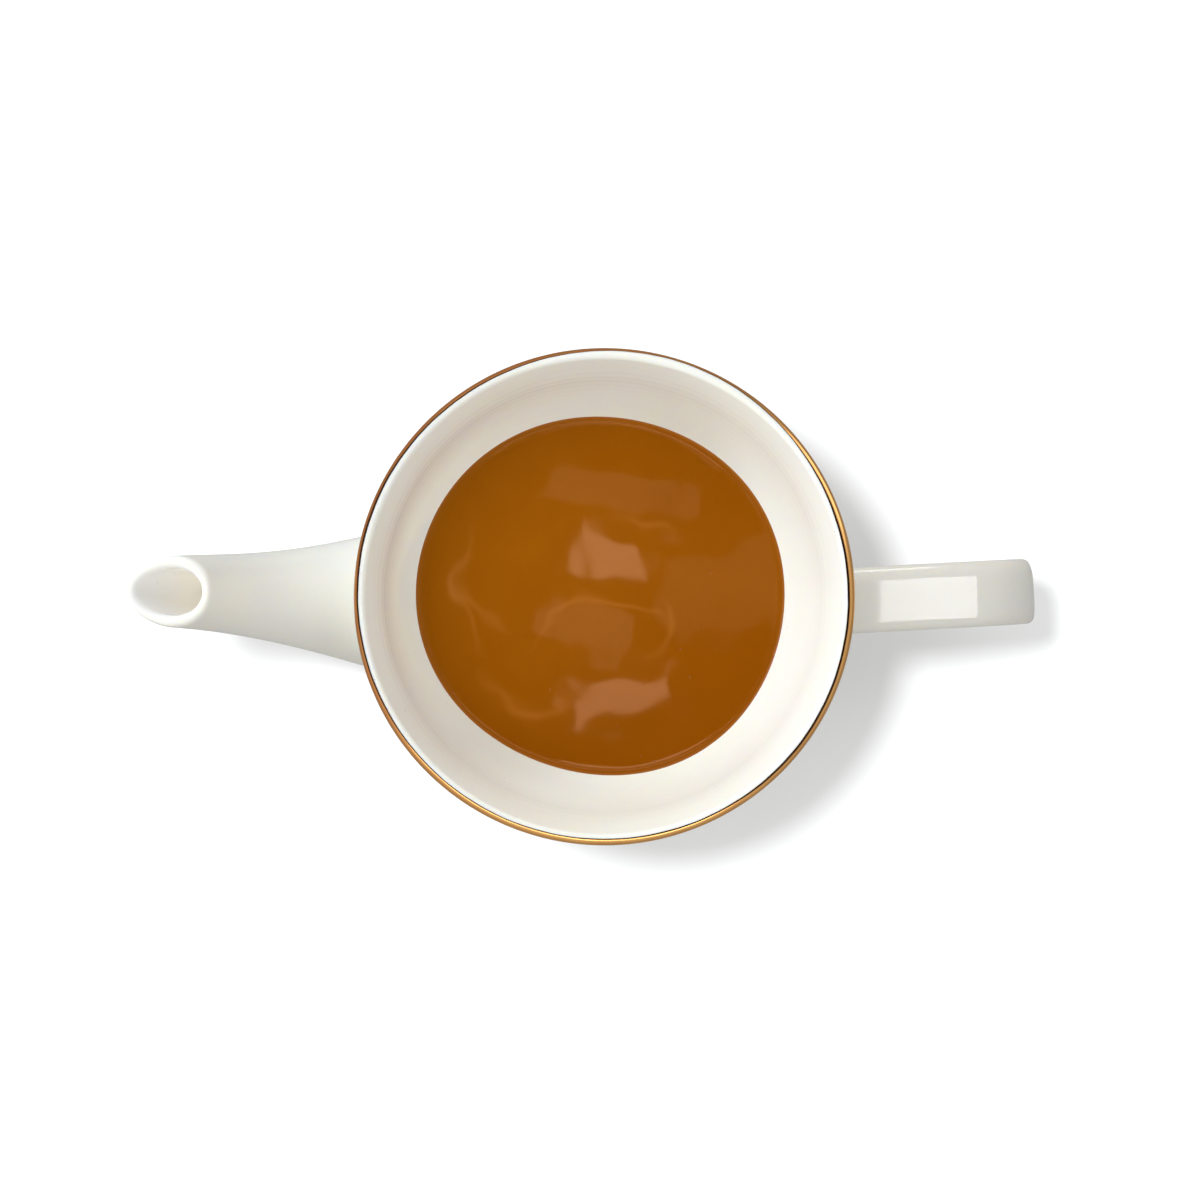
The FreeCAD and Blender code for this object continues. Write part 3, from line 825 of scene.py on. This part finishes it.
@dataclass
class Handle(Branch):
    """Strap handle: one rounded section carried along three arcs and a straight run.

    The section is a rounded oblong, |x/a|^n + |y/b|^n = 1, softer on its +Y side.
    """

    reach: float = 40.2
    drop: float = 14.0
    rise: float = 8.0
    top_radius: float = 90.0
    bend_radius: float = 15.0
    back_radius: float = 21.0
    skew: float = 3.05
    aside: float = -0.84
    width: float = 14.0
    thickness: float = 6.2
    squareness: float = 4.6
    softness: float = 1.3

    def __post_init__(self) -> None:
        """Lays out the strap's middle line as points, directions and lengths."""
        bowl = self.bowl
        rise = math.radians(self.rise)
        start = np.array([bowl.rim_radius - bowl.flare_inset - bowl.wall, bowl.height - self.drop])
        top = start + self.top_radius * np.array([math.sin(rise), -math.cos(rise)])
        outer = bowl.rim_radius + self.reach - self.thickness / 2
        gap = self.top_radius - self.bend_radius
        bend_x = outer - self.bend_radius
        bend = np.array([bend_x, top[1] + math.sqrt(gap**2 - (bend_x - top[0]) ** 2)])
        meet = math.atan2(bend[1] - top[1], bend[0] - top[0])
        back = np.array([outer - self.back_radius, bend[1]])
        foot = back[1] - self.back_radius
        stretches = [
            arc(top, self.top_radius, math.pi / 2 + rise, meet, 120),
            arc(bend, self.bend_radius, meet, 0.0, 80)[1:],
            arc(back, self.back_radius, 0.0, -math.pi / 2, 120)[1:],
            line((back[0], foot), (bowl.foot_radius, foot), 120)[1:],
        ]
        self.path = np.concatenate(stretches)
        steps = np.linalg.norm(np.diff(self.path, axis=0), axis=1)
        self.lengths = np.concatenate([[0.0], np.cumsum(steps)])
        self.length = self.lengths[-1]
        ends = np.cumsum([0] + [len(stretch) for stretch in stretches])
        self.joints = self.lengths[np.array([0, *(ends[1:] - 1)])]
        self.turns = np.array([math.pi / 2 + rise, meet, 0.0, -math.pi / 2, -math.pi / 2])

    def point(self, share: Array, turn: Array) -> Array:
        """Surface of the strap: middle line + outward y + level x of the section; turn 90 is outside."""
        along = share * self.length
        centre = [np.interp(along, self.lengths, self.path[:, k]) for k in (0, 1)]
        facing = np.interp(along, self.joints, self.turns)
        power = 2.0 / (self.squareness - self.softness * ease(-np.cos(turn), -0.2, 0.2))
        cos, sin = np.cos(turn), np.sin(turn)
        across = -self.width / 2 * np.sign(cos) * np.abs(cos) ** power
        outward = self.thickness / 2 * np.sign(sin) * np.abs(sin) ** power
        x = centre[0] + np.cos(facing) * outward
        z = centre[1] + np.sin(facing) * outward
        skew = math.radians(self.skew)
        shift = self.aside - self.bowl.rim_radius * math.sin(skew)
        level = x * math.cos(skew) - across * math.sin(skew)
        return np.stack([level, x * math.sin(skew) + across * math.cos(skew) + shift, z], axis=-1)

    def build(self, material: Material) -> Object:
        """Makes the piece "pot_handle": a fillet at each end and the strap between them."""
        top, start = self.fillet(self.crossing(0.0, 0.5), 1.0, 3.6, 3.0)
        low, end = self.fillet(self.crossing(1.0, 0.6), -1.0, 4.6, 3.8)
        share = np.linspace(0.0, 1.0, 190)[:, None] * (end - start) + start
        strap = self.point(share, np.broadcast_to(ring_angles(self.columns), share.shape))
        caps = [self.on_wall(end[:1], self.depth) for end in (top, low)]
        net = np.concatenate([caps[0], top, strap, low[::-1], caps[1]])
        marks = {"bare": blank(net), "sheer": blank(net)}
        return add_piece("pot_handle", [skin(net, marks=marks)], material, ("pot",))


# ---------------- gilding


@dataclass
class GiltLine:
    """Gold line over the lip: a film whose section hugs the half round.

    Its outer face is an arc of the film's radius about the lip's centre, and its hidden inner face
    an arc a little under the china. The brush left its inner edge uneven.
    """

    bowl: Bowl
    columns: int = 480
    low_angle: float = -35.0  # outer edge on the round of the lip
    spout_angle: float = 8.0  # outer edge beside the spout, where china shows outside the gold
    spout_spread: float = 34.0
    width: float = 1.19  # seen from above
    width_waves: tuple[Wave, ...] = (
        Wave(1, 0.37, -68.0),
        Wave(2, 0.12, -4.0),
        Wave(3, 0.17, 9.0),
        Wave(4, 0.09, 21.0),
        Wave(23, 0.02, 3.0),
        Wave(61, 0.012, 1.0),
    )
    dark_edge: float = 0.34  # width of the dark inner edge: partly the film's brown edge, partly a painted dark reflection
    dark_edge_waves: tuple[Wave, ...] = (Wave(2, 0.2, -15.0), Wave(1, 0.06, -60.0), Wave(7, 0.03, 10.0))
    buried: float = 0.2

    def build(self, material: Material) -> Object:
        """Makes the piece "gilt_line" with the marks "across", "edge" and "thin"."""
        angle = ring_angles(self.columns)[None, :]
        radius = self.bowl.wall / 2
        width = self.width + swell(self.width_waves, angle)
        inner = np.arccos(np.clip(1.0 - width / radius, -0.85, 0.8))
        from_spout = np.abs(np.degrees(np.angle(np.exp(1j * (angle - math.pi - 0.12)))))
        beside = 1.0 - ease(from_spout, self.spout_spread * 0.45, self.spout_spread)
        outer = np.radians(self.low_angle + (self.spout_angle - self.low_angle) * beside)
        outer = np.minimum(outer, inner - 0.35)
        share = np.linspace(0.0, 1.0, 34)[:, None]
        lap = outer + (inner - outer) * share
        from_ends = np.minimum(lap - outer, inner - lap) * radius
        film = self.bowl.film
        thick = radius - film * 1.3 + film * 1.3 * ease(from_ends, 0.0, 0.1)
        under = inner + (outer - inner) * np.linspace(0.0, 1.0, 8)[1:-1, None]
        lap = np.concatenate([lap, under])
        thick = np.concatenate([thick, np.full(under.shape, radius - self.buried)])
        reach = self.bowl.lip[0] + thick * np.cos(lap) + swell(self.bowl.rim_waves, angle)
        height = self.bowl.lip[1] + thick * np.sin(lap)
        net = np.stack([reach * np.cos(angle), reach * np.sin(angle), height], axis=-1)
        # painted reflection: the dark edge's width round the rim follows where the lip mirrors dark
        edge_width = self.dark_edge + swell(self.dark_edge_waves, angle)
        edge = 1.0 - ease((inner - lap) * radius, edge_width * 0.7, edge_width * 1.15)
        # painted reflection: more coppery towards the upper left
        thin = 0.25 + 0.45 * np.cos(angle - math.radians(140.0)) + 0.0 * lap
        marks = {
            "across": lap + 0.03 * np.sin(3 * angle) + 0.02 * np.sin(7 * angle + 1.0),
            "edge": edge,
            "thin": np.clip(thin, 0.0, 1.0),
        }
        return add_piece("gilt_line", [skin(net, True, marks)], material, ("gilt_rim",))


# ---------------- drink


@dataclass(frozen=True)
class Ribbon:
    """Wisp of milk along an arc: a soft ridge whose strength fades to both ends.

    Attributes:
        centre: of the arc, in millimetres.
        radius: of the arc.
        start: angle where it begins, in degrees.
        sweep: how far it runs, in degrees.
        width: of the wisp, to where it has faded to a third.
        strength: of its paleness at the middle.
    """

    centre: tuple[float, float]
    radius: float
    start: float
    sweep: float
    width: float
    strength: float

    def at(self, x: Array, y: Array) -> Array:
        """Paleness at a point: a bell across the arc times a half sine along it."""
        dx, dy = x - self.centre[0], y - self.centre[1]
        angle = np.mod(np.degrees(np.arctan2(dy, dx)) - self.start, 360.0) / self.sweep
        along = np.where(angle < 1.0, np.sin(math.pi * np.clip(angle, 0.0, 1.0)), 0.0)
        across = (np.hypot(dx, dy) - self.radius * (1.0 + 0.06 * np.sin(9.0 * angle))) / self.width
        return self.strength * along * np.exp(-across * across)


@dataclass(frozen=True)
class Ripple:
    """Straight ripple of the drink's skin: height times sin(2 pi distance / pitch + lag)."""

    pitch: float
    heading: float
    height: float
    lag: float

    def at(self, x: Array, y: Array) -> Array:
        """Height at a point."""
        heading = math.radians(self.heading)
        way = x * math.cos(heading) + y * math.sin(heading)
        return self.height * np.sin(TURN * way / self.pitch + self.lag)


@dataclass
class Drink:
    """Tea with milk: fills the bowl and the root of the spout to one level.

    It reaches a little into the china all round, so no gap shows, and climbs the wall in a small
    curved shore.
    """

    bowl: Bowl
    spout: Spout
    level: float
    reach: float = 0.28
    climb: float = 0.16
    shore: float = 0.5
    overlap: float = 1.02  # the drink in the bore is this much wider than the bore
    ripples: tuple[Ripple, ...] = (
        Ripple(31.0, 20.0, 0.007, 0.0),
        Ripple(23.0, 105.0, 0.005, 1.3),
        Ripple(14.5, 64.0, 0.003, 2.1),
        Ripple(11.0, 150.0, 0.0028, 0.6),
        Ripple(7.3, 82.0, 0.0012, 4.0),
        Ripple(5.1, 12.0, 0.0006, 2.6),
    )
    ribbons: tuple[Ribbon, ...] = (
        Ribbon((-1.0, -15.0), 15.0, 20.0, 150.0, 0.8, 0.5),
        Ribbon((-20.0, 4.0), 11.0, 150.0, 120.0, 1.2, 0.45),
        Ribbon((-14.0, 2.0), 18.0, 130.0, 110.0, 0.8, 0.4),
        Ribbon((4.0, 6.0), 12.0, 20.0, 80.0, 1.4, 0.35),
        Ribbon((-16.0, -16.0), 9.0, 180.0, 150.0, 1.6, 0.4),
        Ribbon((6.0, -6.0), 8.0, -60.0, 100.0, 1.1, 0.35),
    )

    def body(self) -> Surface:
        """The drink in the bowl: rippled top, shore, and sides that reach into the inner wall."""
        wall = self.bowl.wall_curve(self.reach)
        floor = line((0.4, wall[0, 1]), wall[0], 12)[:-1]
        under = np.concatenate([floor, wall[wall[:, 1] < self.level - 1.0]])
        sides = self.bowl.turned(under, np.ones(len(under)), self.bowl.columns)
        angle = ring_angles(self.bowl.columns)[None, :]
        top_height = np.full((1, 1), self.level + self.climb)
        shore = self.bowl.face_radius(angle, top_height, 1.0)
        share = np.append(np.linspace(1.0, 0.0, 150)[:-1], 0.003)[:, None]
        radius = (shore + self.reach) * share
        x, y = radius * np.cos(angle), radius * np.sin(angle)
        height = self.level + self.climb * np.exp(-np.maximum(shore - radius, 0.0) / self.shore)
        height = height + sum(ripple.at(x, y) for ripple in self.ripples)
        top = np.stack([x, y, height], axis=-1)
        return skin(np.concatenate([sides, top]))

    def tongue(self) -> Surface:
        """The drink in the bore: the part of each of its sections that lies under the level."""
        self.spout.inside = True
        rows, columns = 40, 64
        shares = np.linspace(0.0, 0.9, 900)
        low = self.spout.point(shares, np.full(shares.shape, math.pi))[:, 2]
        end = float(np.interp(self.level, low, shares))
        start = float(self.spout.crossing(0.0, 0.8, depth=self.bowl.wall * 0.8).mean())
        share = np.linspace(start, end, rows)[:, None] + np.zeros((rows, columns))
        share = np.minimum(share, end - 1e-3)
        top = self.spout.point(share[:, :1], np.zeros((rows, 1)))[..., 2]
        bottom = self.spout.point(share[:, :1], np.full((rows, 1), math.pi))[..., 2]
        cut = np.arccos(np.clip((2 * self.level - top - bottom) / (top - bottom), -1.0, 1.0))
        turn = cut + (TURN - 2 * cut) * (np.arange(columns) + 0.5) / columns
        net = self.spout.point(share, turn)
        middle = net.mean(1, keepdims=True)
        net = middle + (net - middle) * self.overlap
        net[..., 2] = np.minimum(net[..., 2], self.level)
        return skin(net)

    def marks(self, surface: Surface) -> Surface:
        """Adds the marks "milk" and "shade" to a surface of the drink."""
        x, y = surface.points[:, 0], surface.points[:, 1]
        bend = 1.5 * np.sin(TURN * y / 17.0 + 0.8) + 0.7 * np.sin(TURN * x / 7.0)
        swirl = 1.2 * np.sin(TURN * x / 21.0) + 0.6 * np.sin(TURN * y / 6.0 + 2.0)
        milk = sum(ribbon.at(x + bend, y + swirl) for ribbon in self.ribbons)
        angle = np.arctan2(y, x)
        shore = self.bowl.face_radius(angle, np.full(x.shape, self.level), 1.0)
        fringe = 0.5 * np.exp(-np.maximum(shore - np.hypot(x, y), 0.0) / 0.45)
        surface.marks = {
            "milk": np.clip(milk + fringe, 0.0, 1.0),
            # painted shade: darker towards the right and the bottom
            "shade": 0.23 + np.clip(x / 110.0, -0.3, 0.3) + np.clip(-y / 58.0, 0.0, 0.6),
        }
        return surface

    def build(self, material: Material) -> list[Object]:
        """Makes the pieces "drink" and "drink_bubbles"."""
        surfaces = [self.marks(self.body()), self.marks(self.tongue())]
        drink = add_piece("drink", surfaces, material, ("tea",))
        skins = [self.marks(bubble.skin(self.level)) for bubble in BUBBLES]
        bubbles = add_piece("drink_bubbles", skins, material, ("tea",))
        for piece in (drink, bubbles):  # so that they cast no brown on the china round them
            piece.visible_diffuse = False
            piece.visible_shadow = False
        return [drink, bubbles]


@dataclass(frozen=True)
class Bubble:
    """Tiny air bubble on the drink: a flattened ball, half sunk."""

    x: float
    y: float
    radius: float

    def skin(self, level: float) -> Surface:
        """Ball of rings: radius (cos t cos a, cos t sin a, 0.8 sin t), resting at the level."""
        tilt = np.linspace(-math.pi / 2, math.pi / 2, 12)[1:-1, None]
        angle = ring_angles(14)[None, :]
        across = [np.cos(tilt) * np.cos(angle), np.cos(tilt) * np.sin(angle)]
        ball = np.stack([*across, 0.8 * np.sin(tilt) + 0.0 * angle], axis=-1)
        return skin(ball * self.radius + np.array([self.x, self.y, level + 0.1 * self.radius]))


BUBBLES = tuple(
    Bubble(*place)
    for place in (
        (23.1, 5.1, 0.3), (21.0, -6.4, 0.22), (13.6, -10.6, 0.2), (16.6, -11.4, 0.28),
        (3.2, -28.0, 0.26), (5.6, -31.2, 0.18), (8.0, -34.4, 0.22), (11.0, -35.5, 0.3),
        (-11.8, -20.0, 0.2), (18.6, -17.4, 0.26), (8.6, -18.9, 0.17),
    )
)


# ---------------- studio


ORIGIN = (0.0, 0.0, 0.0)
WHITE = (1.0, 1.0, 1.0)
AMBER = (1.0, 0.55, 0.32)
GLINT_HEIGHT = 1.2  # of the small panes that the tea mirrors


class Lit(Enum):
    """What a lamp shines on."""

    CHINA = "china"  # bowl and spout
    HANDLE = "handle"  # which stands in the bowl's shadow
    GOLD = "gold"
    DRINK = "drink"
    FLOOR = "floor"


Receivers = dict[Lit, Collection]


@dataclass(frozen=True)
class Softbox:
    """Rectangular soft light, in metres, aimed at a point. A card shows in reflections only."""

    name: str
    place: Point
    size: tuple[float, float]
    radiance: float
    lit: Lit
    target: Point = (0.0, 0.0, 0.04)
    tint: Point = WHITE
    card: bool = False

    def build(self, receivers: Receivers) -> None:
        """Adds the light. Its power is radiance times pi times its area, as a flat lamp emits."""
        wide, deep = self.size
        power = self.radiance * math.pi * wide * deep
        holder = hang(self, "AREA", receivers, shape="RECTANGLE", size=wide, size_y=deep, energy=power)
        holder.visible_diffuse = not self.card


@dataclass(frozen=True)
class Daylight:
    """Far soft light that reaches every place alike, as wide as spread in degrees."""

    name: str
    place: Point
    spread: float
    strength: float
    lit: Lit = Lit.FLOOR
    target: Point = ORIGIN
    tint: Point = WHITE

    def build(self, receivers: Receivers) -> None:
        """Adds the light."""
        hang(self, "SUN", receivers, angle=math.radians(self.spread), energy=self.strength)


@dataclass(frozen=True)
class Glow:
    """Faint ball of light inside the spout, for the light that soaks through its thin wall."""

    name: str
    place: Point
    radius: float
    power: float
    tint: Point
    lit: Lit = Lit.CHINA
    target: Point = ORIGIN

    def build(self, receivers: Receivers) -> None:
        """Adds the light, which no reflection shows."""
        holder = hang(self, "POINT", receivers, shadow_soft_size=self.radius, energy=self.power)
        holder.visible_glossy = False


def hang(light: Softbox | Daylight | Glow, kind: str, receivers: Receivers, **settings) -> Object:
    """Puts a lamp at its place, aims it, hides it from the camera and limits what it shines on."""
    lamp = bpy.data.lights.new(light.name, kind)
    for key, value in {**settings, "color": light.tint}.items():
        setattr(lamp, key, value)
    holder = into_scene(light.name, lamp)
    holder.location = light.place
    way = Vector(light.target) - Vector(light.place)
    holder.rotation_euler = way.to_track_quat("-Z", "Y").to_euler()
    holder.visible_camera = False
    holder.light_linking.receiver_collection = receivers[light.lit]
    return holder


@dataclass
class Studio:
    """Pale floor, soft room and lights: the floor's, the pot's, the gold's, the tea's, the handle's."""

    lamps: tuple = (
        Daylight("floor_light", (-0.22, 0.12, 1.0), 8.0, 1.8),
        Daylight("floor_fill", (-0.2, 0.1, 1.0), 100.0, 0.9),
        Softbox("key", (-0.95, 0.55, 0.95), (0.45, 0.45), 20.0, Lit.CHINA, tint=(0.9, 0.97, 1.0)),
        Glow("bore_glow", (-0.0833, 0.001, 0.0586), 0.003, 4.0e-4, (1.0, 0.81, 0.52)),
        Softbox("gold_streak", (-0.12, -0.42, 1.1), (0.9, 0.3), 2.6, Lit.GOLD),
        Softbox("gold_side", (0.9, 0.5, 0.7), (0.5, 0.9), 1.5, Lit.GOLD),
        Softbox("tea_light", (-0.55, 0.2, 1.1), (0.5, 0.5), 5.0, Lit.DRINK),
        Softbox("overhead", (0.36, 0.0, 1.15), (0.38, 0.16), 3.0, Lit.CHINA),
        Softbox("handle_card", (0.47, 0.0, 1.15), (0.66, 0.62), 5.2, Lit.HANDLE, card=True),
        Softbox("handle_side", (0.1, 0.95, 0.4), (0.4, 0.4), 4.5, Lit.HANDLE, tint=(1.0, 0.97, 0.9)),
        *(
            Softbox(f"glint_{name}", (x, y, GLINT_HEIGHT), size, radiance, Lit.DRINK, tint=tint)
            for name, x, y, size, radiance, tint in (
                ("a", 0.003, 0.018, (0.030, 0.014), 6.5, AMBER),
                ("b", 0.010, -0.042, (0.042, 0.019), 6.0, AMBER),
                ("c", 0.0065, 0.046, (0.063, 0.015), 1.3, AMBER),
                ("d", -0.005, -0.0125, (0.032, 0.017), 1.5, (1.0, 0.6, 0.36)),
                ("e", 0.067, 0.007, (0.034, 0.08), 0.7, (1.0, 0.7, 0.4)),
            )
        ),
    )
    floor_reach: float = 12.0
    walls: float = 0.48  # room light at the horizon
    ceiling: float = 0.79  # and high up
    zenith: float = 0.03  # straight above, where the camera hangs
    walls_end: tuple[float, float] = (0.1, 0.6)  # upward part of the direction
    zenith_edge: tuple[float, float] = (0.94, 0.985)
    warmth: tuple[float, float, float, float] = (1.0, 0.985, 0.945, 1.0)
    lean: Point = (-0.16, 0.0, 0.0)  # the side from which more of it comes

    def floor(self) -> Object:
        """A wide matt floor, which isn't part of the object."""
        far = self.floor_reach
        mesh = bpy.data.meshes.new("floor")
        corners = [(-far, -far, 0.0), (far, -far, 0.0), (far, far, 0.0), (-far, far, 0.0)]
        mesh.from_pydata(corners, [], [(0, 1, 2, 3)])
        material, tree = new_material("matt_paper")
        principled(tree, {"Base Color": linear(Tone.FLOOR), "Roughness": 0.9})
        mesh.materials.append(material)
        floor = into_scene("floor", mesh)
        floor.visible_diffuse = False  # the room's own low light stands in for its bounce
        floor.visible_glossy = False  # or every edge of the china would mirror it and glare
        return floor

    def sky(self) -> None:
        """Room light by the height of its direction: dim walls, bright ceiling, dark zenith.

        The backdrop itself is plain white.
        """
        world = bpy.data.worlds.new("room")
        world.use_nodes = True
        tree = world.node_tree
        tree.nodes.clear()
        way = add_node(tree, "ShaderNodeTexCoord").outputs["Generated"]
        height = add_node(tree, "ShaderNodeSeparateXYZ", {0: way}).outputs["Z"]
        walls = remap(tree, height, self.walls, self.ceiling, *self.walls_end, "SMOOTHSTEP")
        shade = remap(tree, height, walls, self.zenith, *self.zenith_edge, "SMOOTHSTEP")
        lean = add_node(tree, "ShaderNodeVectorMath", {0: way, 1: self.lean}, operation="DOT_PRODUCT")
        leaning = multiply_add(tree, shade, lean.outputs["Value"], shade, clamp=False)
        room = add_node(tree, "ShaderNodeBackground", {"Color": self.warmth, "Strength": leaning})
        white = add_node(tree, "ShaderNodeBackground", {"Color": (1.0, 1.0, 1.0, 1.0)})
        seen = add_node(tree, "ShaderNodeLightPath").outputs["Is Camera Ray"]
        either = {0: seen, 1: room.outputs[0], 2: white.outputs[0]}
        both = add_node(tree, "ShaderNodeMixShader", either)
        add_node(tree, "ShaderNodeOutputWorld", {"Surface": both.outputs[0]})
        bpy.context.scene.world = world

    def build(self, lit: dict[Lit, list[Object]]) -> None:
        """Adds everything round the object.

        Args:
            lit: the object's pieces by the lamps that light them.
        """
        receivers = {}
        for group, pieces in {**lit, Lit.FLOOR: [self.floor()]}.items():
            receivers[group] = bpy.data.collections.new("lit_" + group.value)
            for piece in pieces:
                receivers[group].objects.link(piece)
        self.sky()
        for lamp in self.lamps:
            lamp.build(receivers)
        bpy.context.scene.view_settings.view_transform = "Standard"


@dataclass
class Overhead:
    """Camera straight above the pot: its picture is field wide at the height of the rim."""

    rim_height: float
    distance: float = 1150.0
    field: float = 252.0
    sensor: float = 36.0
    aside: tuple[float, float] = (-0.91, -0.69)

    def build(self) -> None:
        """Adds the camera. Its lens is sensor times distance over field."""
        lens = bpy.data.cameras.new("overhead")
        lens.sensor_width = self.sensor
        lens.lens = self.sensor * self.distance / self.field
        lens.clip_start, lens.clip_end = 0.01, 20.0
        camera = into_scene("overhead", lens)
        camera.location = Vector((*self.aside, self.rim_height + self.distance)) * MM
        bpy.context.scene.camera = camera


# ---------------- all together


def main() -> None:
    """Builds the pot, its gold, its drink, the studio and the camera."""
    pot_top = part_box("pot")[1] / MM
    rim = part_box("gilt_rim")[1] / MM
    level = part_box("tea")[1].z / MM
    china, gold, milk_tea = ChinaFinish().material(), GoldFinish().material(), TeaFinish().material()
    bowl = Bowl(height=rim.z, rim_radius=rim.x)
    log.info("bowl %.1f high, lip %.1f in radius, pot to %.1f", bowl.height, bowl.rim_radius, pot_top.z)
    spout = Spout(bowl)
    pieces = {
        Lit.CHINA: [bowl.build(china), spout.build(china)],
        Lit.HANDLE: [Handle(bowl).build(china)],
        Lit.GOLD: [GiltLine(bowl).build(gold)],
        Lit.DRINK: Drink(bowl, spout, level).build(milk_tea),
    }
    Studio().build(pieces)
    Overhead(rim_height=rim.z).build()


if __name__ == "__main__":
    main()
